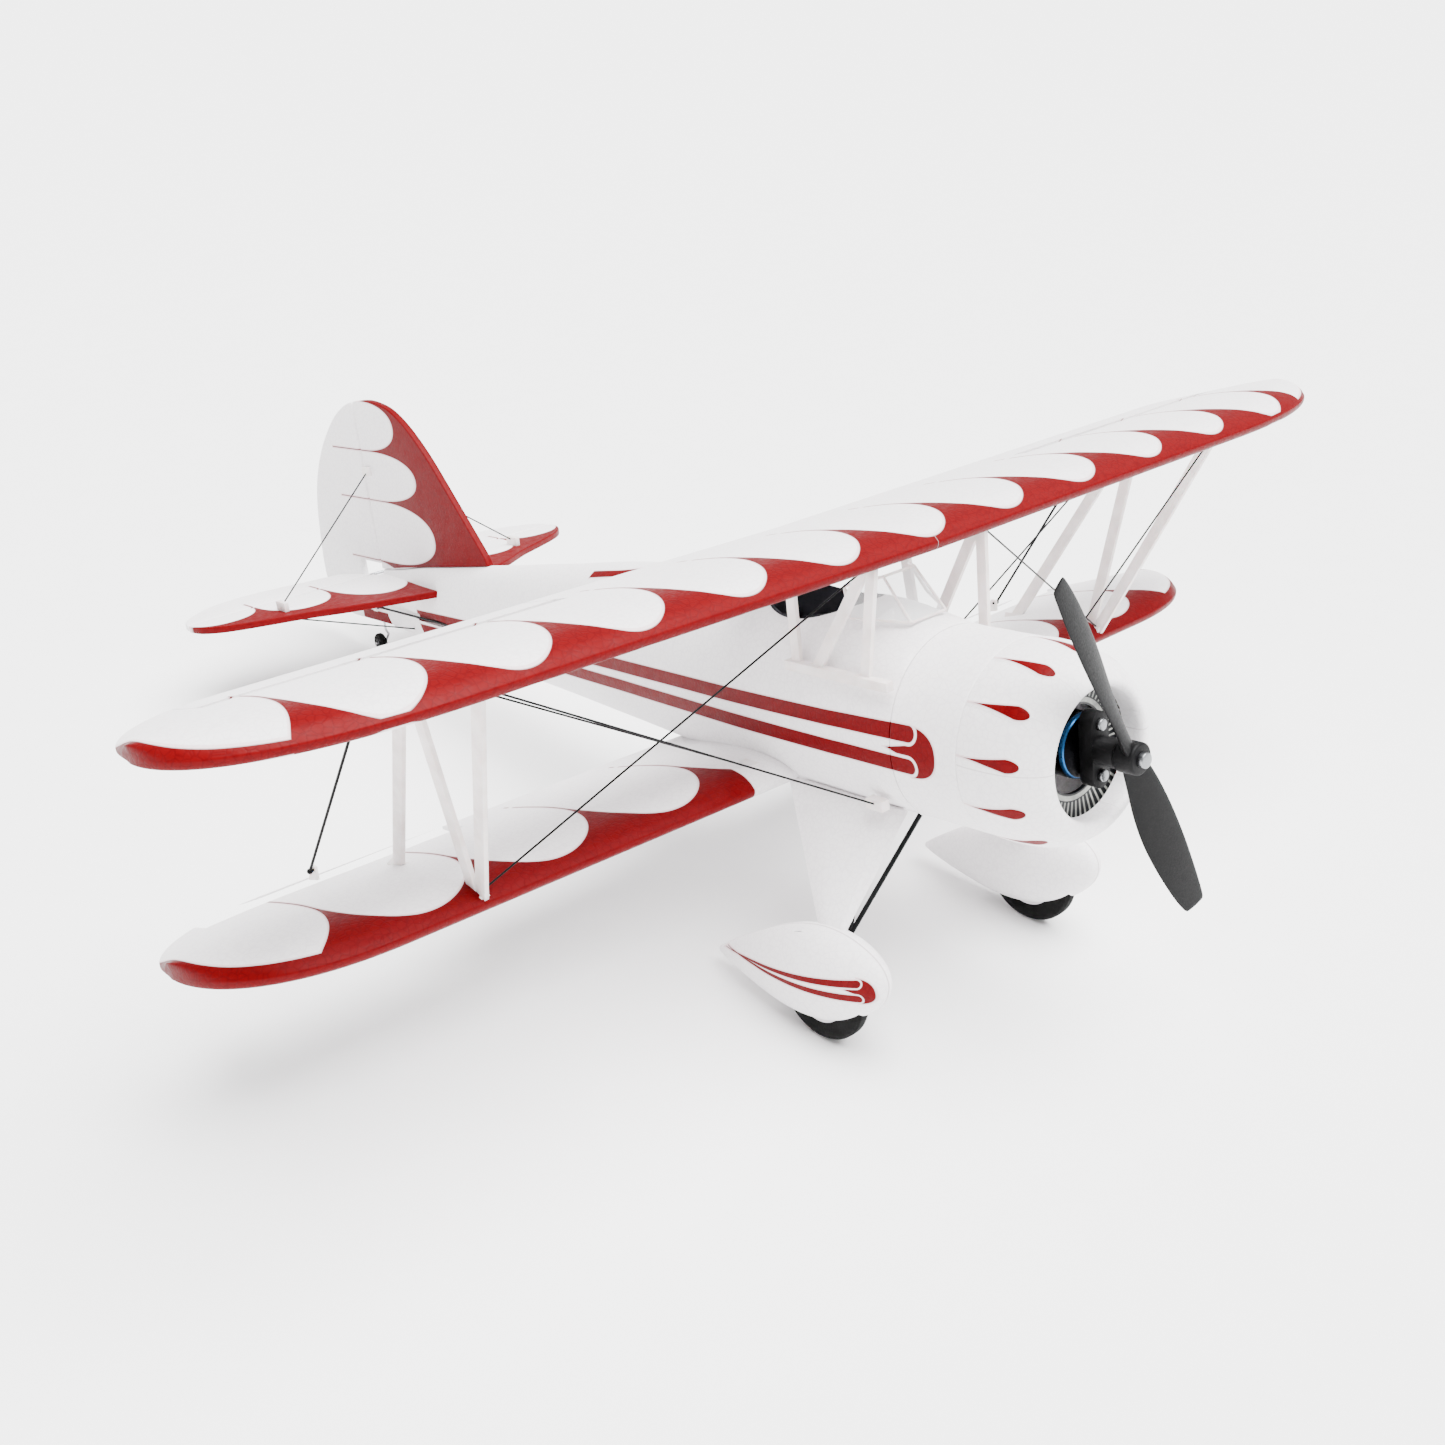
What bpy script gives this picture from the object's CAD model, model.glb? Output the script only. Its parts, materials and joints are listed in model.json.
import json
import math
import bpy
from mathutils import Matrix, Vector


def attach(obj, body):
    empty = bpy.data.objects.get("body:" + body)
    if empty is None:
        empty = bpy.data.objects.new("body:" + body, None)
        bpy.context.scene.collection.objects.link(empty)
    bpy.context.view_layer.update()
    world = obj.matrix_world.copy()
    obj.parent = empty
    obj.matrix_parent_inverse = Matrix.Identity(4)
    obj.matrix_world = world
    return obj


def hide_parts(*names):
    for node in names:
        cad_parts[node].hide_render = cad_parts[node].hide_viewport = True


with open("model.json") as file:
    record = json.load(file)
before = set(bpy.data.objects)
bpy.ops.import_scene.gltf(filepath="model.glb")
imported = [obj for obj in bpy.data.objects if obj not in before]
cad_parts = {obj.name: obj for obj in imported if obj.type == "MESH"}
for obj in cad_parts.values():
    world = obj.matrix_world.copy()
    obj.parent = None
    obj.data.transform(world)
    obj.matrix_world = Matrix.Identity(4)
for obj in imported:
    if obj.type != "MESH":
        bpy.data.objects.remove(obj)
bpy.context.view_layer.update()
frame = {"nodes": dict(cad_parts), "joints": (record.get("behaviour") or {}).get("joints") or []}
millimetre = 0.001

# The model is drawn level, in millimetres from the propeller hub, and then set down on its wheels.
joints = {joint["name"]: joint for joint in frame["joints"]}
hub = Vector(joints["propeller_spin"]["pos_m"])
shaftLine = joints["propeller_spin"]["axis"]
noseUp = math.atan2(-shaftLine[2], shaftLine[1])


# Small tools

def dropSelection():
    if bpy.context.object and bpy.context.object.mode != "OBJECT":
        bpy.ops.object.mode_set(mode="OBJECT")
    bpy.ops.object.select_all(action="DESELECT")


def pick(piece):
    dropSelection()
    piece.select_set(True)
    bpy.context.view_layer.objects.active = piece


def editAll(piece):
    pick(piece)
    bpy.ops.object.mode_set(mode="EDIT")
    bpy.ops.mesh.select_all(action="SELECT")


def leaveEdit():
    bpy.ops.object.mode_set(mode="OBJECT")


def curveThrough(points, travel):
    # smooth curve through a list of points, travel runs from 0 to 1
    last = len(points) - 1
    spot = min(max(travel, 0.0), 1.0) * last
    index = min(int(spot), last - 1)
    part = spot - index
    before = points[max(index - 1, 0)]
    start = points[index]
    end = points[index + 1]
    after = points[min(index + 2, last)]
    result = []
    for a, b, c, d in zip(before, start, end, after):
        bend = (2 * a - 5 * b + 4 * c - d) * part ** 2
        twist = (3 * b - a - 3 * c + d) * part ** 3
        result.append(0.5 * (2 * b + (c - a) * part + bend + twist))
    return result


def stationCurve(stations, where):
    # smooth value at one place along a list whose first number is the place
    for index in range(len(stations) - 1):
        if where <= stations[index + 1][0] or index == len(stations) - 2:
            low = stations[index][0]
            high = stations[index + 1][0]
            part = min(max((where - low) / (high - low), 0.0), 1.0)
            return curveThrough(stations, (index + part) / (len(stations) - 1))


def rollGrid(name, around, along, place):
    # a flat grid rolled into a closed skin: seams merged, ends filled, faces outward
    dropSelection()
    bpy.ops.mesh.primitive_grid_add(x_subdivisions=around, y_subdivisions=along, size=2)
    piece = bpy.context.object
    piece.name = name
    for vertex in piece.data.vertices:
        across = round((vertex.co.x + 1) / 2 * around)
        step = round((vertex.co.y + 1) / 2 * along)
        vertex.co = Vector(place(across, step)) * millimetre
    editAll(piece)
    bpy.ops.mesh.remove_doubles(threshold=0.00001)
    bpy.ops.mesh.fill_holes(sides=0)
    bpy.ops.mesh.normals_make_consistent(inside=False)
    leaveEdit()
    return piece


def boxBetween(low, high):
    dropSelection()
    middle = [(a + b) / 2 * millimetre for a, b in zip(low, high)]
    bpy.ops.mesh.primitive_cube_add(size=1, location=middle)
    box = bpy.context.object
    box.scale = [(b - a) * millimetre for a, b in zip(low, high)]
    bpy.ops.object.transform_apply(location=True, rotation=True, scale=True)
    return box


def rodBetween(start, end, radius, corners=24):
    dropSelection()
    low = Vector(start) * millimetre
    high = Vector(end) * millimetre
    bpy.ops.mesh.primitive_cylinder_add(vertices=corners, radius=radius * millimetre,
                                        depth=(high - low).length, location=(low + high) / 2)
    rod = bpy.context.object
    rod.rotation_mode = "QUATERNION"
    rod.rotation_quaternion = (high - low).to_track_quat("Z", "Y")
    bpy.ops.object.transform_apply(location=True, rotation=True, scale=True)
    rod.rotation_mode = "XYZ"
    return rod


def combine(piece, tool, operation):
    pick(piece)
    step = piece.modifiers.new("combine", "BOOLEAN")
    step.operation = operation
    step.solver = "EXACT"
    step.object = tool
    bpy.ops.object.modifier_apply(modifier=step.name)
    bpy.data.objects.remove(tool)


def cutAway(piece, tool):
    combine(piece, tool, "DIFFERENCE")


def sliceOff(piece, point, direction):
    # keeps what lies ahead of the cutting plane
    editAll(piece)
    bpy.ops.mesh.bisect(plane_co=Vector(point) * millimetre, plane_no=direction,
                        use_fill=True, clear_inner=True)
    leaveEdit()


def duplicate(piece, name):
    pick(piece)
    bpy.ops.object.duplicate()
    copy = bpy.context.object
    copy.name = name
    return copy


def softenEdges(piece, width, segments=3, angle=32):
    pick(piece)
    step = piece.modifiers.new("soften", "BEVEL")
    step.width = width * millimetre
    step.segments = segments
    step.limit_method = "ANGLE"
    step.angle_limit = math.radians(angle)
    step.harden_normals = False
    bpy.ops.object.modifier_apply(modifier=step.name)


def smoothSkin(piece, angle=38):
    pick(piece)
    bpy.ops.object.shade_smooth_by_angle(angle=math.radians(angle))


def coat(piece, material):
    piece.data.materials.clear()
    piece.data.materials.append(material)


def setDown(piece, body, material, *nodes):
    # tilts a level piece onto its wheels and gives it its finish, its body and its node
    pick(piece)
    piece.rotation_euler = (-noseUp, 0, 0)
    piece.location = hub
    bpy.ops.object.transform_apply(location=True, rotation=True, scale=True)
    coat(piece, material)
    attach(piece, body)
    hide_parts(*nodes)


def refine(node, body, material, edge=0.0, segments=2, smooth=38):
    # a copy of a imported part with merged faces, eased edges and a finish
    source = frame["nodes"][node]
    piece = bpy.data.objects.new(node + "_finished", source.data.copy())
    bpy.context.scene.collection.objects.link(piece)
    editAll(piece)
    bpy.ops.mesh.remove_doubles(threshold=0.000002)
    bpy.ops.mesh.dissolve_limited(angle_limit=math.radians(0.4))
    leaveEdit()
    if edge:
        softenEdges(piece, edge, segments)
    smoothSkin(piece, smooth)
    coat(piece, material)
    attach(piece, body)
    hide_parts(node)
    return piece


# Finishes

def linearColour(code):
    channels = [int(code[i:i + 2], 16) / 255 for i in (1, 3, 5)]
    return [c / 12.92 if c <= 0.04045 else ((c + 0.055) / 1.055) ** 2.4 for c in channels] + [1.0]


def add(tree, kind, *feeds, out=0, **settings):
    # adds a node, sets what it needs and links or fills its inputs in order
    node = tree.nodes.new("ShaderNode" + kind)
    for name, value in settings.items():
        setattr(node, name, value)
    for index, feed in enumerate(feeds):
        if isinstance(feed, bpy.types.NodeSocket):
            tree.links.new(feed, node.inputs[index])
        elif feed is not None:
            node.inputs[index].default_value = feed
    return node.outputs[out]


def newFinish(name, roughness, **values):
    material = bpy.data.materials.new(name)
    material.use_nodes = True
    shader = material.node_tree.nodes["Principled BSDF"]
    shader.inputs["Roughness"].default_value = roughness
    for key, value in values.items():
        shader.inputs[key.replace("_", " ")].default_value = value
    return material, material.node_tree, shader


def levelPlace(tree):
    # millimetres from the hub in the level frame, the same for every painted part
    objectPlace = add(tree, "TexCoord", out=3)
    mapping = tree.nodes.new("ShaderNodeMapping")
    tree.links.new(objectPlace, mapping.inputs["Vector"])
    mapping.inputs["Rotation"].default_value = (noseUp, 0, 0)
    mapping.inputs["Scale"].default_value = (1 / millimetre,) * 3
    level = (hub.x, hub.y * math.cos(noseUp) - hub.z * math.sin(noseUp),
             hub.y * math.sin(noseUp) + hub.z * math.cos(noseUp))
    mapping.inputs["Location"].default_value = [-value / millimetre for value in level]
    split = tree.nodes.new("ShaderNodeSeparateXYZ")
    tree.links.new(mapping.outputs[0], split.inputs[0])
    return mapping.outputs[0], split.outputs[0], split.outputs[1], split.outputs[2]


beadFoam = {
    "beadSize": 2.6,           # mm across one expanded bead
    "pitSize": 1.1,            # mm between the pinholes where beads meet
    "white": "#F4F1F2",
    "whiteShade": "#ECE8EA",
    "red": "#600106",
    "redShade": "#560106",
    "edge": "#D9B4B8",
    "seam": "#B9ADB0",
    "whiteGloss": 0.46,
    "redGloss": 0.40,
}


def paintedFoam(name, redField, extraHeight=None, darkField=None):
    # Moulded bead foam with sprayed gloss paint: fused beads show as faint cells with pinholes
    # between them, and the paint lies in them, so that highlights break up along edges.
    material, tree, shader = newFinish(name, 0.4, IOR=1.47, Specular_IOR_Level=0.07)
    place, across, back, height = levelPlace(tree)
    cells = add(tree, "TexVoronoi", place, None, 1 / beadFoam["beadSize"], out=0,
                feature="DISTANCE_TO_EDGE")
    seams = add(tree, "MapRange", cells, 0.0, 0.14, 0.0, 1.0)
    pits = add(tree, "TexVoronoi", place, None, 1 / beadFoam["pitSize"], out=0)
    speckle = add(tree, "TexNoise", place, None, 0.23, 3.0, 0.6)
    pitRim = add(tree, "MapRange", speckle, 0.50, 0.70, 0.10, 0.30)
    hole = add(tree, "Math", pits, pitRim, operation="LESS_THAN")
    lightness = add(tree, "Math", seams, 0.75, operation="MULTIPLY")
    lightness = add(tree, "Math", lightness, speckle, operation="ADD")
    lightness = add(tree, "MapRange", lightness, 0.5, 1.2, 0.0, 1.0)
    white = add(tree, "Mix", lightness, None, None, None, None, None,
                linearColour(beadFoam["whiteShade"]), linearColour(beadFoam["white"]),
                out=2, data_type="RGBA")
    red = add(tree, "Mix", lightness, None, None, None, None, None,
              linearColour(beadFoam["redShade"]), linearColour(beadFoam["red"]),
              out=2, data_type="RGBA")
    colour = white
    gloss = add(tree, "MapRange", speckle, 0.35, 0.65, beadFoam["whiteGloss"] - 0.05,
                beadFoam["whiteGloss"] + 0.08)
    if redField:
        field = redField(tree, across, back, height)
        painted = add(tree, "MapRange", field, -0.12, 0.12, 0.0, 1.0)
        nearEdge = add(tree, "Math", field, 0.25, operation="ADD")
        nearEdge = add(tree, "Math", nearEdge, 0.0, operation="ABSOLUTE")
        nearEdge = add(tree, "MapRange", nearEdge, 0.2, 0.4, 0.5, 0.0)
        colour = add(tree, "Mix", nearEdge, None, None, None, None, None, white,
                     linearColour(beadFoam["edge"]), out=2, data_type="RGBA")
        colour = add(tree, "Mix", painted, None, None, None, None, None, colour, red,
                     out=2, data_type="RGBA")
        redGloss = add(tree, "MapRange", speckle, 0.35, 0.65, beadFoam["redGloss"] - 0.06,
                       beadFoam["redGloss"] + 0.08)
        gloss = add(tree, "Mix", painted, None, gloss, redGloss, data_type="FLOAT")
    if darkField:
        groove = darkField(tree, across, back, height)
        colour = add(tree, "Mix", groove, None, None, None, None, None, colour,
                     linearColour(beadFoam["seam"]), out=2, data_type="RGBA")
    relief = add(tree, "Math", seams, 0.05, operation="MULTIPLY")
    dent = add(tree, "Math", hole, -0.09, operation="MULTIPLY")
    relief = add(tree, "Math", relief, dent, operation="ADD")
    ripple = add(tree, "TexNoise", place, None, 0.7, 2.0, 0.5)
    ripple = add(tree, "Math", ripple, 0.08, operation="MULTIPLY")
    relief = add(tree, "Math", relief, ripple, operation="ADD")
    if extraHeight:
        relief = add(tree, "Math", relief, extraHeight(tree, across, back, height),
                     operation="ADD")
    bump = tree.nodes.new("ShaderNodeBump")
    bump.inputs["Strength"].default_value = 0.55
    bump.inputs["Distance"].default_value = millimetre
    tree.links.new(relief, bump.inputs["Height"])
    tree.links.new(bump.outputs[0], shader.inputs["Normal"])
    tree.links.new(colour, shader.inputs["Base Color"])
    tree.links.new(gloss, shader.inputs["Roughness"])
    return material


def roundedNorm(tree, first, second, power):
    one = add(tree, "Math", first, power, operation="POWER")
    two = add(tree, "Math", second, power, operation="POWER")
    total = add(tree, "Math", one, two, operation="ADD")
    return add(tree, "Math", total, 1 / power, operation="POWER")


def tongueField(tree, across, back, centre, half, nose, full, power=2.2):
    # signed distance inside one white tongue: round nose ahead, straight sides behind
    side = add(tree, "Math", across, centre, operation="SUBTRACT")
    side = add(tree, "Math", side, 0.0, operation="ABSOLUTE")
    side = add(tree, "Math", side, half, operation="DIVIDE")
    ahead = add(tree, "Math", full, back, operation="SUBTRACT")
    ahead = add(tree, "Math", ahead, 0.0, operation="MAXIMUM")
    ahead = add(tree, "Math", ahead, full - nose, operation="DIVIDE")
    reach = roundedNorm(tree, side, ahead, power)
    inside = add(tree, "Math", 1.0, reach, operation="SUBTRACT")
    return add(tree, "Math", inside, half, operation="MULTIPLY")


upperPaint = {"pitch": 42.7, "first": 21.35, "nose": 78.8, "full": 120.0, "hinge": 134.8,
              "lineEnd": 143.0, "line": 0.42, "lastLine": 234.85, "middle": 120.4,
              "straight": 186.0, "tipReach": 86.5, "noseReach": 41.8, "root": 0.0}
lowerPaint = {"pitch": 51.7, "first": 54.0, "nose": 139.3, "full": 176.0, "hinge": 211.0,
              "lineEnd": 217.0, "line": 0.42, "lastLine": 209.1, "middle": 185.0,
              "straight": 193.0, "tipReach": 61.5, "noseReach": 45.9, "root": 46.0}


def wingPaint(paint):
    # red leading edge with a row of white tongues, thin red lines running back to the hinge
    def field(tree, across, back, height):
        span = add(tree, "Math", across, 0.0, operation="ABSOLUTE")
        half = paint["pitch"] / 2
        offset = add(tree, "Math", span, paint["first"] + half, operation="SUBTRACT")
        local = add(tree, "Math", offset, half, -half, operation="WRAP")
        beyond = add(tree, "Math", span, paint["lastLine"] + half, operation="GREATER_THAN")
        local = add(tree, "Mix", beyond, None, local, 0.0, data_type="FLOAT")
        white = tongueField(tree, local, back, 0.0, half, paint["nose"], paint["full"])
        behind = add(tree, "Math", back, paint["lineEnd"], operation="GREATER_THAN")
        gap = add(tree, "Math", back, paint["hinge"] + 1.2, operation="SUBTRACT")
        gap = add(tree, "Math", gap, 0.0, operation="ABSOLUTE")
        gap = add(tree, "Math", gap, 1.3, operation="LESS_THAN")
        clear = add(tree, "Math", behind, gap, operation="MAXIMUM")
        clear = add(tree, "Math", clear, 5.0, operation="MULTIPLY")
        white = add(tree, "Math", white, clear, operation="ADD")
        white = add(tree, "Math", white, paint["line"], operation="SUBTRACT")
        outboard = add(tree, "Math", span, paint["straight"], operation="SUBTRACT")
        outboard = add(tree, "Math", outboard, 0.0, operation="MAXIMUM")
        outboard = add(tree, "Math", outboard, paint["tipReach"], operation="DIVIDE")
        forward = add(tree, "Math", paint["middle"], back, operation="SUBTRACT")
        forward = add(tree, "Math", forward, 0.0, operation="MAXIMUM")
        forward = add(tree, "Math", forward, paint["noseReach"], operation="DIVIDE")
        reach = roundedNorm(tree, outboard, forward, 2.29)
        tip = add(tree, "Math", 1.0, reach, operation="SUBTRACT")
        tip = add(tree, "Math", tip, paint["noseReach"], operation="MULTIPLY")
        white = add(tree, "Math", white, tip, operation="MINIMUM")
        root = add(tree, "Math", paint["root"], span, operation="SUBTRACT")
        white = add(tree, "Math", white, root, operation="MAXIMUM")
        return add(tree, "Math", white, -1.0, operation="MULTIPLY")
    return field


def tailPaint(tongues, lineEnd, swap):
    # the same tongues on the fin and tailplane, each with its own width and nose
    def field(tree, across, back, height):
        spread = height if swap else add(tree, "Math", across, 0.0, operation="ABSOLUTE")
        white = None
        for centre, half, nose, full in tongues:
            one = tongueField(tree, spread, back, centre, half, nose, full)
            if white:
                white = add(tree, "Math", white, one, operation="MAXIMUM")
            else:
                white = one
        white = add(tree, "Math", white, 0.25, operation="SUBTRACT")
        behind = add(tree, "Math", back, lineEnd, operation="SUBTRACT")
        white = add(tree, "Math", white, behind, operation="MAXIMUM")
        return add(tree, "Math", white, -1.0, operation="MULTIPLY")
    return field


finTongues = [(83.0, 12.9, 438.0, 470.0), (57.0, 13.0, 424.0, 466.0), (27.5, 16.5, 415.0, 462.0),
              (-4.0, 15.0, 451.0, 480.0)]
tailTongues = [(18.5, 19.0, 434.0, 476.0), (56.5, 18.5, 449.0, 478.0), (93.5, 18.0, 463.0, 481.0)]

fuselageTrim = {"front": 66.3, "upper": (5.6, -0.0391, -0.000024),
                "lower": (-6.2, -0.0245, -0.0000333), "half": 2.95, "gap": 1.2,
                "headReach": 12.5, "headHalf": 9.3, "headMiddle": -0.9, "point": 77.0,
                "end": 436.0, "taper": 0.0}
pantTrim = {"front": 69.0, "upper": (-77.4, -0.149, 0.0), "lower": (-83.3, -0.06, 0.0),
            "half": 1.5, "gap": 0.55, "headReach": 6.0, "headHalf": 5.0, "headMiddle": -80.3,
            "point": 74.0, "end": 147.0, "taper": 0.018}
pantSide = {"middle": 59.0, "decalFrom": 61.0}


def stripePair(tree, back, height, trim):
    # two stripes with a crescent head that points back between them
    behind = add(tree, "Math", back, trim["front"], operation="SUBTRACT")
    ahead = add(tree, "Math", behind, -1.0, operation="MULTIPLY")
    ahead = add(tree, "Math", ahead, 0.0, operation="MAXIMUM")
    thin = add(tree, "Math", behind, trim["taper"], operation="MULTIPLY")
    width = add(tree, "Math", trim["half"], thin, operation="SUBTRACT")
    stripes = None
    halo = None
    for rise, slope, curl in (trim["upper"], trim["lower"]):
        bend = add(tree, "Math", behind, curl, operation="MULTIPLY")
        bend = add(tree, "Math", bend, slope, operation="ADD")
        bend = add(tree, "Math", bend, behind, operation="MULTIPLY")
        line = add(tree, "Math", bend, rise, operation="ADD")
        off = add(tree, "Math", height, line, operation="SUBTRACT")
        off = add(tree, "Math", off, 0.0, operation="ABSOLUTE")
        distance = roundedNorm(tree, off, ahead, 2.0)
        one = add(tree, "Math", width, distance, operation="SUBTRACT")
        stripes = add(tree, "Math", stripes, one, operation="MAXIMUM") if stripes else one
        clear = add(tree, "Math", distance, trim["half"] + trim["gap"], operation="SUBTRACT")
        halo = add(tree, "Math", halo, clear, operation="MINIMUM") if halo else clear
    rest = add(tree, "Math", trim["end"], back, operation="SUBTRACT")
    stripes = add(tree, "Math", stripes, rest, operation="MINIMUM")
    off = add(tree, "Math", height, trim["headMiddle"], operation="SUBTRACT")
    off = add(tree, "Math", off, 0.0, operation="ABSOLUTE")
    side = add(tree, "Math", off, trim["headHalf"], operation="DIVIDE")
    forward = add(tree, "Math", ahead, trim["headReach"], operation="DIVIDE")
    reach = roundedNorm(tree, side, forward, 2.3)
    head = add(tree, "Math", 1.0, reach, operation="SUBTRACT")
    head = add(tree, "Math", head, trim["headHalf"], operation="MULTIPLY")
    signed = add(tree, "Math", behind, -1.0, operation="MULTIPLY")
    head = add(tree, "Math", head, signed, operation="MINIMUM")
    wedge = add(tree, "Math", trim["point"], back, operation="SUBTRACT")
    wedge = add(tree, "Math", wedge, 0.24, operation="MULTIPLY")
    wedge = add(tree, "Math", wedge, off, operation="SUBTRACT")
    root = add(tree, "Math", behind, trim["headReach"] / 2, operation="ADD")
    wedge = add(tree, "Math", wedge, root, operation="MINIMUM")
    head = add(tree, "Math", head, wedge, operation="MAXIMUM")
    head = add(tree, "Math", head, halo, operation="MINIMUM")
    return add(tree, "Math", stripes, head, operation="MAXIMUM")


spineMark = {"half": 11.0, "nose": 213.0, "full": 232.0, "end": 274.0, "above": 12.0,
             "innerHalf": 7.6, "innerNose": 236.0, "innerFull": 262.0}


def fuselagePaint(tree, across, back, height):
    sides = stripePair(tree, back, height, fuselageTrim)
    onSide = add(tree, "Math", across, 0.0, operation="ABSOLUTE")
    onSide = add(tree, "Math", onSide, 2.0, operation="SUBTRACT")
    sides = add(tree, "Math", sides, onSide, operation="MINIMUM")
    spine = tongueField(tree, across, back, 0.0, spineMark["half"], spineMark["nose"],
                        spineMark["full"])
    rest = add(tree, "Math", spineMark["end"], back, operation="SUBTRACT")
    spine = add(tree, "Math", spine, rest, operation="MINIMUM")
    inner = tongueField(tree, across, back, 0.0, spineMark["innerHalf"],
                        spineMark["innerNose"], spineMark["innerFull"])
    inner = add(tree, "Math", inner, -1.0, operation="MULTIPLY")
    spine = add(tree, "Math", spine, inner, operation="MINIMUM")
    onTop = add(tree, "Math", height, spineMark["above"], operation="SUBTRACT")
    spine = add(tree, "Math", spine, onTop, operation="MINIMUM")
    return add(tree, "Math", sides, spine, operation="MAXIMUM")


def pantPaint(tree, across, back, height):
    trim = stripePair(tree, back, height, pantTrim)
    outside = add(tree, "Math", across, 0.0, operation="ABSOLUTE")
    outside = add(tree, "Math", outside, pantSide["decalFrom"], operation="SUBTRACT")
    return add(tree, "Math", trim, outside, operation="MINIMUM")


def pantSeam(tree, across, back, height):
    off = add(tree, "Math", across, 0.0, operation="ABSOLUTE")
    off = add(tree, "Math", off, pantSide["middle"], operation="SUBTRACT")
    off = add(tree, "Math", off, 0.0, operation="ABSOLUTE")
    return add(tree, "MapRange", off, 0.1, 0.45, 0.8, 0.0)


cowlTrim = {"count": 12, "radius": 35.4, "head": 24.4, "headReach": 4.6, "tail": 44.2,
            "half": 2.5, "axis": -2.0, "turn": 8.0, "seam": -0.5}


def cowlDart(tree, across, back, height):
    # one plain teardrop for each cylinder, its point toward the tail
    up = add(tree, "Math", height, cowlTrim["axis"], operation="SUBTRACT")
    angle = add(tree, "Math", across, up, operation="ARCTAN2")
    angle = add(tree, "Math", angle, math.radians(cowlTrim["turn"]), operation="SUBTRACT")
    half = math.pi / cowlTrim["count"]
    angle = add(tree, "Math", angle, half, -half, operation="WRAP")
    arc = add(tree, "Math", angle, cowlTrim["radius"], operation="MULTIPLY")
    arc = add(tree, "Math", arc, 0.0, operation="ABSOLUTE")
    ahead = add(tree, "Math", cowlTrim["head"], back, operation="SUBTRACT")
    ahead = add(tree, "Math", ahead, 0.0, operation="MAXIMUM")
    ahead = add(tree, "Math", ahead, cowlTrim["headReach"], operation="DIVIDE")
    behind = add(tree, "Math", back, cowlTrim["head"], operation="SUBTRACT")
    behind = add(tree, "Math", behind, 0.0, operation="MAXIMUM")
    behind = add(tree, "Math", behind, cowlTrim["tail"] - cowlTrim["head"], operation="DIVIDE")
    narrow = add(tree, "Math", 1.0, behind, operation="SUBTRACT")
    narrow = add(tree, "Math", narrow, 0.0, operation="MAXIMUM")
    narrow = add(tree, "Math", narrow, 1.7, operation="POWER")
    width = add(tree, "Math", narrow, cowlTrim["half"], operation="MULTIPLY")
    width = add(tree, "Math", width, 0.05, operation="SUBTRACT")
    front = add(tree, "Math", ahead, 2.0, operation="POWER")
    front = add(tree, "Math", 1.0, front, operation="SUBTRACT")
    front = add(tree, "Math", front, 0.0, operation="MAXIMUM")
    front = add(tree, "Math", front, 0.5, operation="POWER")
    width = add(tree, "Math", width, front, operation="MULTIPLY")
    gone = add(tree, "Math", ahead, 1.0, operation="GREATER_THAN")
    arc = add(tree, "Math", arc, gone, operation="ADD")
    return add(tree, "Math", width, arc, operation="SUBTRACT")


def cowlBlister(tree, across, back, height):
    # each teardrop stands on a low moulded blister
    dart = cowlDart(tree, across, back, height)
    return add(tree, "MapRange", dart, -1.6, 0.6, 0.0, 0.9)


def cowlSeam(tree, across, back, height):
    off = add(tree, "Math", height, cowlTrim["seam"], operation="SUBTRACT")
    off = add(tree, "Math", off, 0.0, operation="ABSOLUTE")
    return add(tree, "MapRange", off, 0.05, 0.3, 0.6, 0.0)


def plasticFinish(name, light, dark, roughness, grain, **values):
    # Injection-moulded plastic: smooth, with a faint eggshell ripple from the mould and
    # slightly uneven colour, so that its highlight is soft and never mirror sharp.
    material, tree, shader = newFinish(name, roughness, **values)
    place = levelPlace(tree)[0]
    cloud = add(tree, "TexNoise", place, None, 0.12, 3.0, 0.55)
    blend = add(tree, "MapRange", cloud, 0.35, 0.65, 0.0, 1.0)
    colour = add(tree, "Mix", blend, None, None, None, None, None, linearColour(dark),
                 linearColour(light), out=2, data_type="RGBA")
    texture = add(tree, "TexNoise", place, None, 1 / grain, 2.0, 0.5)
    bump = tree.nodes.new("ShaderNodeBump")
    bump.inputs["Strength"].default_value = 0.12
    bump.inputs["Distance"].default_value = millimetre * 0.5
    tree.links.new(texture, bump.inputs["Height"])
    tree.links.new(bump.outputs[0], shader.inputs["Normal"])
    tree.links.new(colour, shader.inputs["Base Color"])
    rough = add(tree, "MapRange", texture, 0.3, 0.7, roughness - 0.06, roughness + 0.08)
    tree.links.new(rough, shader.inputs["Roughness"])
    return material


engineCardPrint = {"fins": 60, "ring": 17.0, "ringHalf": 0.7, "finsFrom": 18.2,
                   "dark": "#15171A", "pale": "#F0F2EA"}


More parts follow.
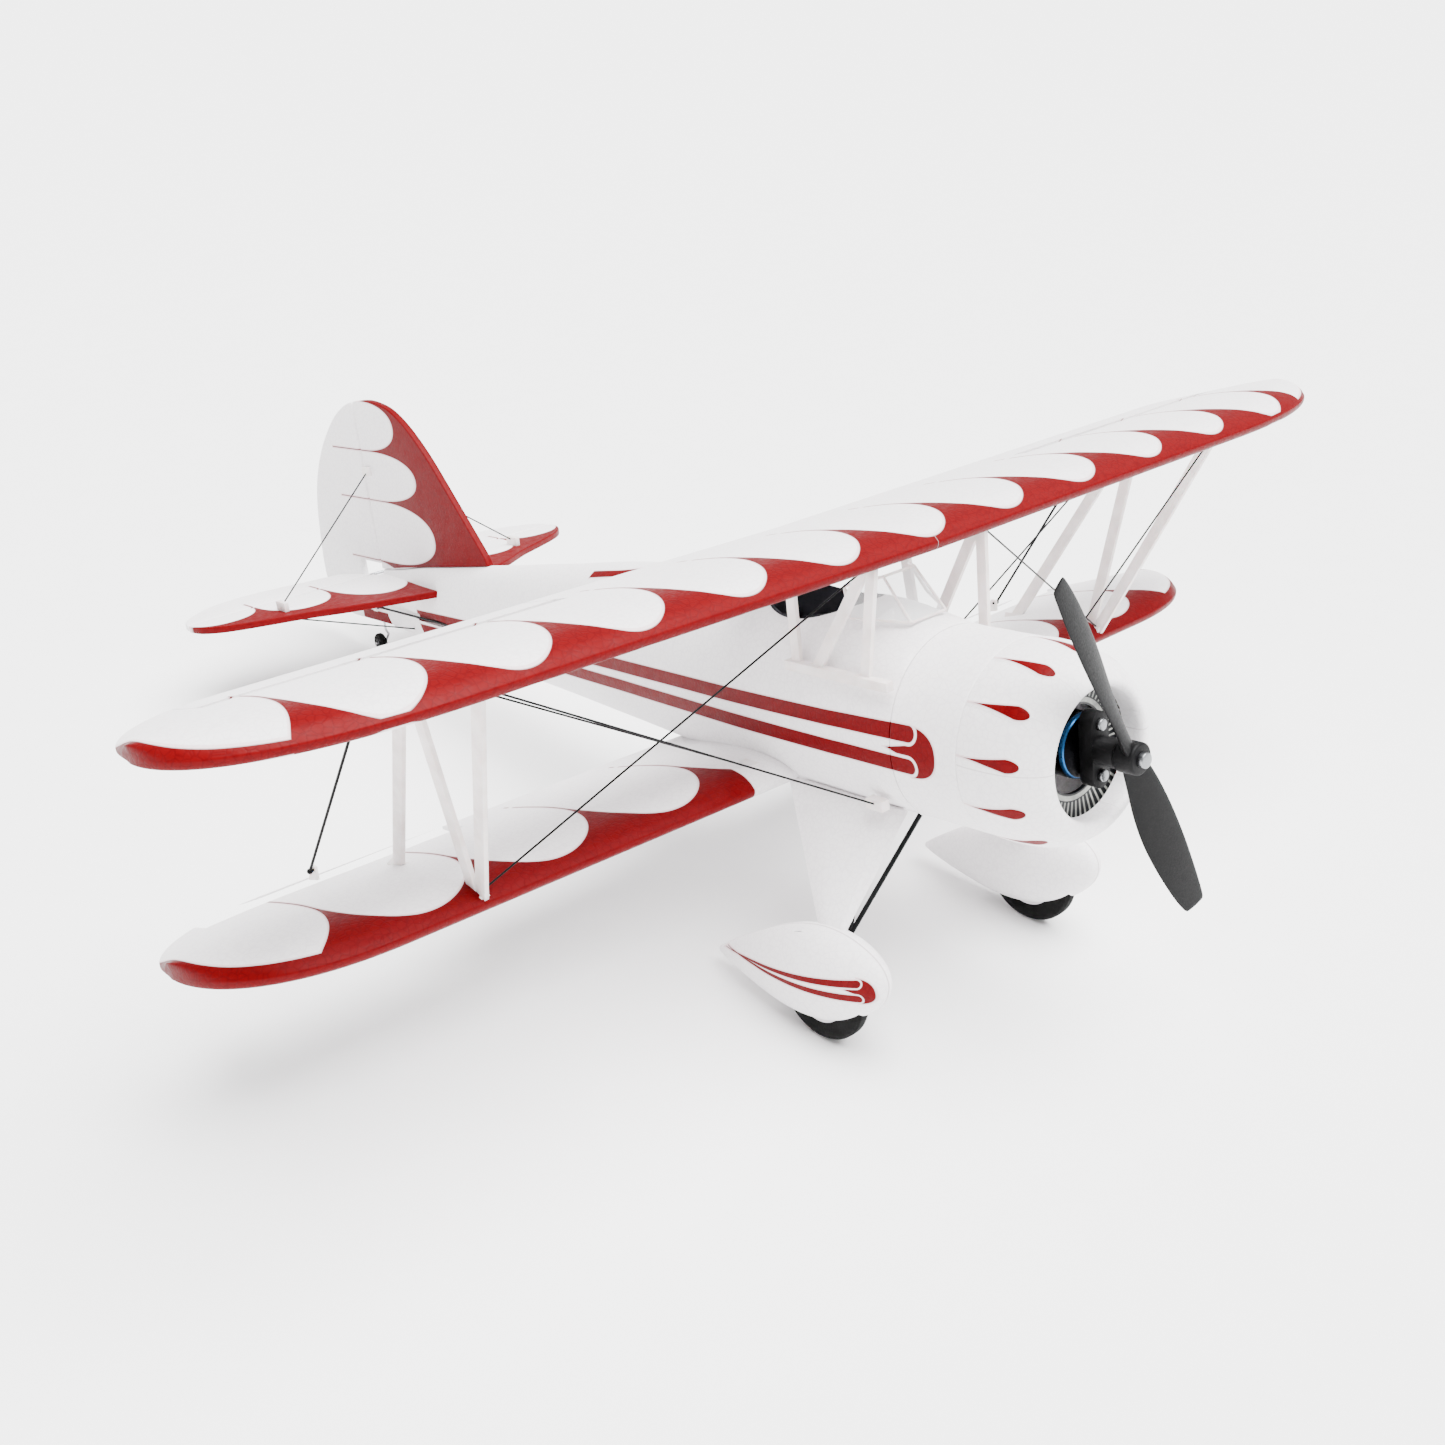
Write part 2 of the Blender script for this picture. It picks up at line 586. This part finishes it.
def engineFinish():
    # Printed card behind the cowl opening: dark with pale fin lines round a grey crankcase ring.
    material, tree, shader = newFinish("printedEngineCard", 0.35)
    place, across, back, height = levelPlace(tree)
    up = add(tree, "Math", height, cowlTrim["axis"], operation="SUBTRACT")
    angle = add(tree, "Math", across, up, operation="ARCTAN2")
    half = math.pi / engineCardPrint["fins"]
    local = add(tree, "Math", angle, half, -half, operation="WRAP")
    local = add(tree, "Math", local, 0.0, operation="ABSOLUTE")
    fins = add(tree, "MapRange", local, half * 0.55, half * 0.8, 0.0, 1.0)
    wide = add(tree, "Math", across, across, operation="MULTIPLY")
    tall = add(tree, "Math", up, up, operation="MULTIPLY")
    radius = add(tree, "Math", wide, tall, operation="ADD")
    radius = add(tree, "Math", radius, 0.5, operation="POWER")
    ring = add(tree, "Math", radius, engineCardPrint["ring"], operation="SUBTRACT")
    ring = add(tree, "Math", ring, 0.0, operation="ABSOLUTE")
    ring = add(tree, "MapRange", ring, engineCardPrint["ringHalf"],
               engineCardPrint["ringHalf"] + 0.25, 1.0, 0.0)
    outer = add(tree, "MapRange", radius, engineCardPrint["finsFrom"],
                engineCardPrint["finsFrom"] + 0.3, 0.0, 1.0)
    fins = add(tree, "Math", fins, outer, operation="MULTIPLY")
    pale = add(tree, "Math", fins, ring, operation="MAXIMUM")
    cloud = add(tree, "TexNoise", place, None, 0.35, 4.0, 0.7)
    pale = add(tree, "Math", pale, cloud, operation="MULTIPLY")
    colour = add(tree, "Mix", pale, None, None, None, None, None,
                 linearColour(engineCardPrint["dark"]), linearColour(engineCardPrint["pale"]),
                 out=2, data_type="RGBA")
    tree.links.new(colour, shader.inputs["Base Color"])
    return material


def metalFinish(name, code, roughness, streak, band=None):
    # Turned metal: fine tool rings catch the light, so the gloss varies along the part. A band
    # is the one stretch left coloured on a part that is otherwise anodised black.
    material, tree, shader = newFinish(name, roughness, Metallic=1.0)
    place, across, back, height = levelPlace(tree)
    rings = add(tree, "TexNoise", place, None, 1 / streak, 4.0, 0.7)
    rough = add(tree, "MapRange", rings, 0.3, 0.7, roughness * 0.7, roughness * 1.4)
    tree.links.new(rough, shader.inputs["Roughness"])
    base = linearColour(code)
    dull = [value * 0.8 for value in base[:3]] + [1.0]
    colour = add(tree, "Mix", rings, None, None, None, None, None, dull, base,
                 out=2, data_type="RGBA")
    if band:
        off = add(tree, "Math", back, band[0], operation="SUBTRACT")
        off = add(tree, "Math", off, 0.0, operation="ABSOLUTE")
        black = add(tree, "Math", off, band[1], operation="GREATER_THAN")
        colour = add(tree, "Mix", black, None, None, None, None, None, colour,
                     linearColour("#08080A"), out=2, data_type="RGBA")
    tree.links.new(colour, shader.inputs["Base Color"])
    return material


def clearFinish():
    # Clear sheet folded into a screen: thin and bright, its gloss a little uneven.
    material, tree, shader = newFinish("clearSheet", 0.06, IOR=1.45, Alpha=0.22)
    place = levelPlace(tree)[0]
    haze = add(tree, "TexNoise", place, None, 0.2, 2.0, 0.5)
    rough = add(tree, "MapRange", haze, 0.3, 0.7, 0.03, 0.14)
    tree.links.new(rough, shader.inputs["Roughness"])
    colour = add(tree, "Mix", haze, None, None, None, None, None, linearColour("#E8EDEE"),
                 linearColour("#F7F9F9"), out=2, data_type="RGBA")
    tree.links.new(colour, shader.inputs["Base Color"])
    return material


upperFoam = paintedFoam("upperWingFoam", wingPaint(upperPaint))
lowerFoam = paintedFoam("lowerWingFoam", wingPaint(lowerPaint))
finFoam = paintedFoam("finFoam", tailPaint(finTongues, 505.0, True))
tailFoam = paintedFoam("tailplaneFoam", tailPaint(tailTongues, 490.0, False))
fuselageFoam = paintedFoam("fuselageFoam", fuselagePaint)
cowlFoam = paintedFoam("cowlFoam", cowlDart, cowlBlister, cowlSeam)
pantFoam = paintedFoam("pantFoam", pantPaint, None, pantSeam)
plainFoam = paintedFoam("plainFoam", None)
strutPlastic = plasticFinish("strutNylon", "#EDE6E4", "#DDD3D0", 0.38, 0.9,
                             Subsurface_Weight=0.15, Subsurface_Scale=0.002)
wheelPlastic = plasticFinish("wheelAbs", "#E4DFE3", "#D6D0D6", 0.4, 0.8)
blackPlastic = plasticFinish("propellerNylon", "#0A0A0B", "#070708", 0.5, 0.6,
                             Specular_IOR_Level=0.12)
darkPlastic = plasticFinish("cockpitCard", "#2A2A30", "#1E1E22", 0.65, 1.2,
                          Specular_IOR_Level=0.15)
rubber = plasticFinish("tyreRubber", "#080808", "#050505", 0.65, 0.7,
                       Specular_IOR_Level=0.08)
trimLeather = plasticFinish("headrestVinyl", "#4A3128", "#33211B", 0.5, 1.1)
wireFinish = plasticFinish("paintedWire", "#0A0A0B", "#060607", 0.45, 1.5,
                           Specular_IOR_Level=0.12)
packWrap = plasticFinish("batteryWrap", "#20242C", "#161A20", 0.35, 2.0)
boardFinish = plasticFinish("circuitBoard", "#1E5A34", "#123A22", 0.4, 1.4)
servoPlastic = plasticFinish("servoCase", "#28345A", "#1A2340", 0.3, 1.0)
anodised = metalFinish("anodisedBell", "#2C5E92", 0.3, 0.6, (19.6, 0.8))
steel = metalFinish("musicWire", "#B9BBBE", 0.3, 0.8)
screwSteel = metalFinish("screwSteel", "#8A8C8E", 0.3, 0.5)
copper = metalFinish("windingCopper", "#B0683A", 0.35, 0.5)
engineCard = engineFinish()
clearSheet = clearFinish()
print("finishes mixed")

# Wings

upperShape = {"half": 275.0, "lead": 77.8, "trail": 161.4, "middle": 120.4, "straightLead": 186.0,
              "straightTrail": 231.0, "base": 60.85, "slope": 0.035, "hinge": 134.8,
              "inner": 118.0, "outer": 246.0}
lowerShape = {"half": 257.0, "lead": 136.0, "trail": 228.0, "middle": 185.0, "straightLead": 193.0,
              "straightTrail": 200.0, "base": -30.4, "slope": 0.09, "hinge": 211.0,
              "inner": 128.0, "outer": 232.0}
wingSection = [(1.0, 0.024), (0.85, 0.049), (0.7, 0.075), (0.5, 0.103), (0.3, 0.115),
               (0.15, 0.107), (0.07, 0.087), (0.03, 0.064), (0.01, 0.044), (0.0, 0.028),
               (0.012, 0.002), (0.05, -0.012), (0.15, -0.014), (0.5, -0.002), (0.8, 0.004),
               (1.0, 0.011)]
dihedral = 0.0117


def wingEdges(shape, span):
    front = shape["lead"]
    back = shape["trail"]
    if span > shape["straightLead"]:
        part = (span - shape["straightLead"]) / (shape["half"] - shape["straightLead"])
        front = shape["middle"] - (shape["middle"] - front) * (1 - part ** 2.29) ** (1 / 2.29)
    if span > shape["straightTrail"]:
        part = (span - shape["straightTrail"]) / (shape["half"] - shape["straightTrail"])
        back = shape["middle"] + (back - shape["middle"]) * (1 - part ** 2.05) ** (1 / 2.05)
    return front, back


def wingBlank(name, shape, around=56, along=150):
    fullChord = shape["trail"] - shape["lead"]

    def place(across, step):
        reach = 2 * step / along - 1
        span = shape["half"] * 0.9998 * math.sin(abs(reach) * math.pi / 2)
        front, back = wingEdges(shape, span)
        chord = back - front
        if across == 0:
            run, rise = wingSection[-1]
        else:
            run, rise = curveThrough(wingSection, (across - 1) / (around - 1))
        slim = 0.45 + 0.55 * chord / fullChord
        back = front + run * chord
        lift = (1 - chord / fullChord) * fullChord * 0.03
        height = shape["base"] + dihedral * span + lift
        height += -shape["slope"] * (back - shape["lead"]) + rise * fullChord * slim
        return math.copysign(span, reach), back, height
    return rollGrid(name, around, along, place)


def buildWing(level, shape, material):
    blank = wingBlank(level + "WingBlank", shape)
    top = shape["base"] + dihedral * shape["outer"] + 0.1 * (shape["trail"] - shape["lead"])
    for side, word in ((1, "left"), (-1, "right")):
        flap = duplicate(blank, level + "Aileron" + word.capitalize())
        sliceOff(flap, (side * shape["inner"], 0, 0), (side, 0, 0))
        sliceOff(flap, (side * shape["outer"], 0, 0), (-side, 0, 0))
        sliceOff(flap, (0, shape["hinge"] + 0.45, top), (0, 11.6, 4.4))
        softenEdges(flap, 0.35, 2, 50)
        smoothSkin(flap)
        body = level + "_aileron_" + word
        setDown(flap, body, material, body)
        low = (shape["inner"] - 0.5, shape["hinge"] - 0.35, shape["base"] - 40)
        high = (shape["outer"] + 0.5, shape["hinge"] + 60, shape["base"] + 60)
        if side < 0:
            low, high = (-high[0], low[1], low[2]), (-low[0], high[1], high[2])
        cutAway(blank, boxBetween(low, high))
    softenEdges(blank, 0.35, 2, 50)
    smoothSkin(blank)
    blank.name = level + "Wing"
    setDown(blank, "airframe", material, level + "_wing")


buildWing("upper", upperShape, upperFoam)
buildWing("lower", lowerShape, lowerFoam)
print("wings shaped")

# Fuselage

fuselageStations = [(44.6, 33.3, -37.3, 35.3, 2.0), (75.0, 33.2, -37.4, 35.0, 2.05),
                    (98.0, 36.5, -38.0, 34.4, 2.15), (112.0, 38.0, -38.0, 34.0, 2.2),
                    (160.0, 38.0, -38.0, 31.5, 2.25), (200.0, 38.0, -37.4, 28.0, 2.25),
                    (245.0, 36.0, -35.5, 24.0, 2.2), (300.0, 29.0, -33.0, 19.0, 2.15),
                    (370.0, 20.0, -30.5, 12.5, 2.1), (430.0, 12.5, -28.5, 8.0, 2.05),
                    (474.0, 6.5, -26.0, 4.5, 2.0)]


def barrel(name, start, end, inset, around=72, along=72):
    def place(across, step):
        where = start + (end - start) * step / along
        where, top, bottom, half, power = stationCurve(fuselageStations, where)
        angle = 2 * math.pi * across / around
        wide = math.cos(angle)
        tall = math.sin(angle)
        x = (half - inset) * math.copysign(abs(wide) ** (2 / power), wide)
        rise = (top - bottom) / 2 - inset
        z = (top + bottom) / 2 + rise * math.copysign(abs(tall) ** (2 / power), tall)
        return x, start + (end - start) * step / along, z
    return rollGrid(name, around, along, place)


def ellipseCutter(centre, wide, long, low, high):
    dropSelection()
    place = (centre[0] * millimetre, centre[1] * millimetre, (low + high) / 2 * millimetre)
    bpy.ops.mesh.primitive_cylinder_add(vertices=72, radius=millimetre, location=place,
                                        depth=(high - low) * millimetre)
    cutter = bpy.context.object
    cutter.scale = (wide, long, 1)
    bpy.ops.object.transform_apply(location=True, rotation=True, scale=True)
    return cutter


fuselageCuts = {"front": 75.0, "rear": 474.0, "hollow": (70.0, 430.0, 3.5),
                "cockpit": ((0, 137), 19.0, 25.0, 22.0, 62.0),
                "hatch": ((-13, 84, -45), (13, 132, -30)),
                "elevatorTunnel": ((9, 170, -12), (9, 479.5, -5.5), 1.7),
                "rudderTunnel": ((-8, 200, -13), (-8, 476, -13), 1.9),
                "noseFront": 44.6, "noseRear": 74.8}


def buildFuselage():
    shell = barrel("fuselageShell", fuselageCuts["front"], fuselageCuts["rear"], 0.0, along=110)
    cutAway(shell, barrel("hollow", *fuselageCuts["hollow"], along=80))
    cutAway(shell, ellipseCutter(*fuselageCuts["cockpit"]))
    cutAway(shell, boxBetween(*fuselageCuts["hatch"]))
    for tunnel in ("elevatorTunnel", "rudderTunnel"):
        cutAway(shell, rodBetween(*fuselageCuts[tunnel]))
    other = duplicate(shell, "fuselageHalfRight")
    shell.name = "fuselageHalfLeft"
    sliceOff(shell, (0.05, 0, 0), (1, 0, 0))
    sliceOff(other, (-0.05, 0, 0), (-1, 0, 0))
    for piece, node in ((shell, "fuselage_half_left"), (other, "fuselage_half_right")):
        softenEdges(piece, 0.3, 2, 50)
        smoothSkin(piece)
        setDown(piece, "airframe", fuselageFoam, node)
    nose = barrel("noseSection", fuselageCuts["noseFront"], fuselageCuts["noseRear"], 0.0, along=24)
    softenEdges(nose, 0.5, 3, 50)
    smoothSkin(nose)
    setDown(nose, "airframe", fuselageFoam, "nose_section")


buildFuselage()
refine("battery_hatch", "hatch", plainFoam, 0.3)
refine("cockpit_liner", "airframe", darkPlastic)
refine("headrest", "airframe", trimLeather)
print("fuselage shaped")

# Cowl

cowlSkin = [(44.3, 35.2), (40.0, 35.6), (36.0, 35.55), (31.0, 35.3), (25.0, 34.4), (20.0, 32.7),
            (16.0, 30.4), (13.5, 28.2), (12.3, 26.2), (12.0, 24.8), (12.6, 23.6), (14.4, 22.9),
            (20.0, 22.9)]
cowlInside = [(21.0, 31.2), (44.3, 31.8)]


def buildCowl():
    around = 64
    along = 120
    smooth = around - len(cowlInside) - 1

    def place(across, step):
        if across <= smooth:
            back, radius = curveThrough(cowlSkin, across / smooth)
        elif across < around:
            back, radius = cowlInside[across - smooth - 1]
        else:
            back, radius = cowlSkin[0]
        angle = 2 * math.pi * step / along
        return radius * math.sin(angle), back, radius * math.cos(angle) + cowlTrim["axis"]
    cowl = rollGrid("cowlRing", around, along, place)
    smoothSkin(cowl, 45)
    setDown(cowl, "airframe", cowlFoam, "cowl")


buildCowl()

# Tail

finOutline = [(370.0, 20.0), (372.5, 25.0), (379.0, 33.0), (397.5, 55.0), (410.0, 69.5),
              (421.0, 80.0), (431.0, 87.5), (441.0, 92.6), (452.0, 95.2), (462.0, 96.0),
              (475.2, 95.0)]
finFoot = [(475.2, 6.6), (474.0, 6.5), (430.0, 12.5)]
rudderOutline = [(476.6, 94.9), (486.0, 92.4), (497.0, 87.0), (507.0, 79.5), (517.5, 69.5),
                 (526.5, 58.0), (532.5, 47.0), (537.0, 34.0), (540.0, 18.0), (541.8, 3.0),
                 (541.0, -8.0), (537.0, -16.5), (529.0, -22.5), (516.0, -25.0)]
rudderFoot = [(476.6, -25.0), (476.6, -4.0), (497.0, -4.0), (497.0, 9.0), (476.6, 9.0)]
stabOutline = [(4.0, 408.5), (27.0, 420.0), (49.0, 431.0), (66.0, 441.5), (82.0, 449.0),
               (95.0, 455.5), (103.0, 461.0), (108.5, 468.0), (110.5, 475.0), (110.6, 478.7)]
elevatorOutline = [(110.4, 480.4), (109.3, 485.0), (105.5, 491.0), (98.0, 497.5), (88.0, 503.5),
                   (76.0, 506.5), (62.0, 506.8), (45.0, 504.0), (30.0, 500.5), (16.5, 498.5)]
elevatorFoot = [(14.5, 496.0), (6.2, 480.4)]


tailSheet = {"upright": 3.6, "flat": 3.4, "height": 2.5}


def smoothEdge(points, count):
    return [curveThrough(points, i / (count - 1)) for i in range(count)]


def foamPlate(name, outline, thick, lift, upright, edge=1.3):
    # a flat sheet cut to the outline, pulled to its thickness, its edges rounded
    dropSelection()
    bpy.ops.mesh.primitive_circle_add(vertices=len(outline), radius=0.1, fill_type="NGON")
    plate = bpy.context.object
    plate.name = name
    for vertex, (one, two) in zip(plate.data.vertices, outline):
        if upright:
            vertex.co = Vector((-thick / 2, one, two)) * millimetre
        else:
            vertex.co = Vector((one, two, lift - thick / 2)) * millimetre
    pull = (thick * millimetre, 0, 0) if upright else (0, 0, thick * millimetre)
    editAll(plate)
    bpy.ops.mesh.extrude_region_move(TRANSFORM_OT_translate={"value": pull})
    bpy.ops.mesh.select_all(action="SELECT")
    bpy.ops.mesh.normals_make_consistent(inside=False)
    leaveEdit()
    softenEdges(plate, edge, 4, 60)
    smoothSkin(plate, 40)
    return plate


def mirroredOutline(points):
    return [(-x, y) for x, y in reversed(points)]


def buildTail():
    upright = (tailSheet["upright"], 0, True)
    flat = (tailSheet["flat"], tailSheet["height"], False)
    fin = foamPlate("finSheet", smoothEdge(finOutline, 44) + finFoot, *upright)
    setDown(fin, "airframe", finFoam, "fin")
    rudder = foamPlate("rudderSheet", smoothEdge(rudderOutline, 48) + rudderFoot, *upright)
    setDown(rudder, "rudder", finFoam, "rudder")
    half = smoothEdge(stabOutline, 40) + [(5.6, 478.7), (5.6, 474.2)]
    stab = foamPlate("tailplaneSheet", half + mirroredOutline(half), *flat)
    setDown(stab, "airframe", tailFoam, "stabiliser")
    flap = smoothEdge(elevatorOutline, 40) + elevatorFoot
    left = foamPlate("elevatorLeft", flap, *flat)
    setDown(left, "elevator", tailFoam, "elevator_halves")
    right = foamPlate("elevatorRight", mirroredOutline(flap), *flat)
    setDown(right, "elevator", tailFoam, "elevator_halves")


buildTail()
print("cowl and tail shaped")

# Main gear

pantStations = [(60.5, 1.2), (62.0, 5.2), (65.5, 9.2), (71.5, 13.2), (79.5, 16.6), (89.5, 18.6),
                (100.5, 18.4), (112.5, 16.2), (124.5, 12.4), (136.5, 8.0), (145.5, 4.2),
                (151.5, 1.2)]
gear = {"slotRadius": 22.2, "slotWidth": 9.2, "middle": -78.4, "droop": 0.155, "slim": 0.64}
wheelAxle = {}
for word in ("left", "right"):
    spin = Vector(joints["wheel_" + word + "_spin"]["pos_m"]) - hub
    wheelAxle[word] = (spin.x / millimetre,
                       (spin.y * math.cos(noseUp) - spin.z * math.sin(noseUp)) / millimetre,
                       (spin.y * math.sin(noseUp) + spin.z * math.cos(noseUp)) / millimetre)


def buildPant(word):
    around = 48
    along = 56
    centre, axleBack, axleHeight = wheelAxle[word]

    def place(across, step):
        travel = (1 - math.cos(math.pi * step / along)) / 2
        back, half = curveThrough(pantStations, travel)
        angle = 2 * math.pi * across / around
        middle = gear["middle"] - (back - pantStations[0][0]) * gear["droop"]
        return (centre + half * gear["slim"] * math.cos(angle), back,
                middle + half * math.sin(angle))
    pant = rollGrid("wheelPant" + word.capitalize(), around, along, place)
    half = gear["slotWidth"] / 2
    cutAway(pant, rodBetween((centre - half, axleBack, axleHeight),
                             (centre + half, axleBack, axleHeight), gear["slotRadius"], 64))
    cutAway(pant, boxBetween((centre - half, axleBack - gear["slotRadius"], axleHeight - 40),
                             (centre + half, axleBack + gear["slotRadius"], axleHeight)))
    softenEdges(pant, 0.4, 2, 50)
    smoothSkin(pant)
    setDown(pant, "airframe", pantFoam, "wheel_pant_" + word)


for word in ("left", "right"):
    buildPant(word)
    refine("tyre_" + word, "wheel_" + word, rubber, 0.3)
    refine("wheel_hub_" + word, "wheel_" + word, wheelPlastic, 0.3)
refine("leg_fairings", "airframe", plainFoam, 0.9, 4)
print("gear shaped")

# Propeller and motor

bladeStations = [(3.0, 8.4, 4.4, 40.0, 0.0), (12.0, 10.8, 3.6, 36.0, 0.0),
                 (24.0, 13.4, 2.7, 30.0, 0.4), (36.0, 14.6, 2.1, 24.5, 0.6),
                 (48.0, 14.2, 1.8, 20.0, 0.4), (60.0, 12.6, 1.5, 16.5, 0.0),
                 (68.0, 10.8, 1.2, 15.0, -0.4), (73.0, 9.0, 1.0, 14.0, -0.8),
                 (74.5, 7.6, 0.8, 13.0, -1.0)]
propeller = {"lean": 26.0, "hubRadius": 5.6, "hubHalf": 4.0}


def buildBlade(name, down):
    around = 28
    along = 48

    def place(across, step):
        radius, chord, thick, pitch, sweep = curveThrough(bladeStations, step / along)
        angle = 2 * math.pi * across / around
        turn = math.radians(pitch)
        wide = chord / 2 * math.cos(angle) + sweep
        deep = thick / 2 * math.sin(angle) * (0.55 + 0.45 * math.sin((angle % math.pi)))
        x = wide * math.cos(turn) - deep * math.sin(turn)
        y = wide * math.sin(turn) + deep * math.cos(turn)
        if down:
            return -x, y, -radius
        return x, y, radius
    return rollGrid(name, around, along, place)


def buildPropeller():
    blades = buildBlade("propellerBlades", False)
    combine(blades, buildBlade("lowerBlade", True), "UNION")
    hubBody = rodBetween((0, propeller["hubHalf"], 0), (0, -propeller["hubHalf"], 0),
                         propeller["hubRadius"], 48)
    softenEdges(hubBody, 0.9, 3)
    combine(blades, hubBody, "UNION")
    cutAway(blades, rodBetween((0, -6, 0), (0, 6, 0), 1.55, 32))
    pick(blades)
    blades.rotation_euler = (0, -math.radians(propeller["lean"]), 0)
    bpy.ops.object.transform_apply(location=True, rotation=True, scale=True)
    smoothSkin(blades, 30)
    setDown(blades, "propeller_unit", blackPlastic, "propeller")


buildPropeller()
refine("prop_adapter", "propeller_unit", blackPlastic, 0.4)
refine("prop_screws", "propeller_unit", screwSteel, 0.3)
refine("motor_bell", "propeller_unit", anodised, 0.4)
refine("dummy_engine_disc", "airframe", engineCard)
print("propeller shaped")

# Struts, rigging and fittings

for node in ("n_struts", "cabanes", "rigging_lugs"):
    refine(node, "airframe", strutPlastic, 0.35)
for word in ("left", "right"):
    refine("link_horn_lower_" + word, "lower_aileron_" + word, strutPlastic, 0.2)
    refine("link_horn_upper_" + word, "upper_aileron_" + word, strutPlastic, 0.2)
refine("elevator_horn", "elevator", strutPlastic, 0.2)
refine("rudder_horn", "rudder", strutPlastic, 0.2)
refine("elevator_servo_arm", "elevator_arm", strutPlastic, 0.2)
refine("rudder_servo_arm", "rudder_arm", strutPlastic, 0.2)
refine("tail_wheel_tyre", "tail_wheel", rubber, 0.3)
refine("tail_wheel_hub", "tail_wheel", blackPlastic, 0.2)
refine("windscreen", "airframe", clearSheet)

keptNodes = {
    "interplane_wires": wireFinish, "tail_brace_wires": wireFinish, "gear_wires": wireFinish,
    "aileron_link_left": wireFinish, "aileron_link_right": wireFinish,
    "elevator_pushrod": wireFinish, "rudder_pushrod": wireFinish, "tail_wheel_wire": steel,
    "axles": steel, "elevator_joiner": steel, "motor_shaft": steel, "motor_mount": blackPlastic,
    "firewall": blackPlastic, "motor_stator": copper, "battery": packWrap,
    "receiver_board": boardFinish, "servos": servoPlastic,
}
for node, material in keptNodes.items():
    coat(frame["nodes"][node], material)

screenFrame = {
    "base": [(-20.0, 104.0, 37.4), (-9.0, 85.0, 35.6), (9.0, 85.0, 35.6), (20.0, 104.0, 37.4)],
    "crest": [(-17.0, 109.0, 48.0), (-8.0, 98.0, 50.5), (8.0, 98.0, 50.5), (17.0, 109.0, 48.0)],
    "bead": 0.55,
}


def buildScreenFrame():
    # the moulded white bead along the edges and folds of the clear screen
    rods = []
    base = screenFrame["base"]
    crest = screenFrame["crest"]
    for index in range(4):
        rods.append((base[index], crest[index]))
        if index < 3:
            rods.append((crest[index], crest[index + 1]))
            rods.append((base[index], base[index + 1]))
    beads = rodBetween(*rods[0], screenFrame["bead"], 10)
    for start, end in rods[1:]:
        combine(beads, rodBetween(start, end, screenFrame["bead"], 10), "UNION")
    beads.name = "windscreenFrame"
    smoothSkin(beads)
    setDown(beads, "airframe", strutPlastic)


buildScreenFrame()
print("fittings finished")

# Studio

studio = {"floor": "#FFFFFF", "floorSize": 30.0, "sky": 0.9, "sunPower": 13.5,
          "sunSpread": 60.0, "sunPlace": (0.25, -0.55, 2.0)}
viewpoint = {"place": (-0.4182, -0.5326, 0.3782), "turn": (63.32, 0.0, -41.59), "lens": 41.73,
             "sensor": 36.0}


def buildStudio():
    dropSelection()
    bpy.ops.mesh.primitive_grid_add(x_subdivisions=8, y_subdivisions=8, size=studio["floorSize"])
    floor = bpy.context.object
    floor.name = "studioFloor"
    material, tree, shader = newFinish("floorPaper", 0.75)
    # Seamless paper: matt, with a very faint fibre mottle.
    place = add(tree, "TexCoord", out=3)
    fibre = add(tree, "TexNoise", place, None, 40.0, 2.0, 0.5)
    colour = add(tree, "Mix", fibre, None, None, None, None, None, linearColour("#FAFAFA"),
                 linearColour(studio["floor"]), out=2, data_type="RGBA")
    tree.links.new(colour, shader.inputs["Base Color"])
    shader.inputs["Specular IOR Level"].default_value = 0.1
    coat(floor, material)
    world = bpy.data.worlds.new("studioSky")
    bpy.context.scene.world = world
    world.use_nodes = True
    sky = world.node_tree.nodes["Background"]
    sky.inputs["Color"].default_value = (1.0, 1.0, 1.0, 1.0)
    sky.inputs["Strength"].default_value = studio["sky"]
    light = bpy.data.lights.new("overheadLight", "SUN")
    light.energy = studio["sunPower"]
    light.angle = math.radians(studio["sunSpread"])
    lamp = bpy.data.objects.new("overheadLight", light)
    bpy.context.scene.collection.objects.link(lamp)
    lamp.location = studio["sunPlace"]
    lamp.rotation_euler = (-lamp.location).to_track_quat("-Z", "Y").to_euler()
    camera = bpy.data.cameras.new("studioCamera")
    camera.lens = viewpoint["lens"]
    camera.sensor_width = viewpoint["sensor"]
    camera.sensor_fit = "HORIZONTAL"
    camera.clip_start = 0.01
    eye = bpy.data.objects.new("studioCamera", camera)
    bpy.context.scene.collection.objects.link(eye)
    eye.location = viewpoint["place"]
    eye.rotation_euler = [math.radians(angle) for angle in viewpoint["turn"]]
    bpy.context.scene.camera = eye


buildStudio()
print("studio lit")
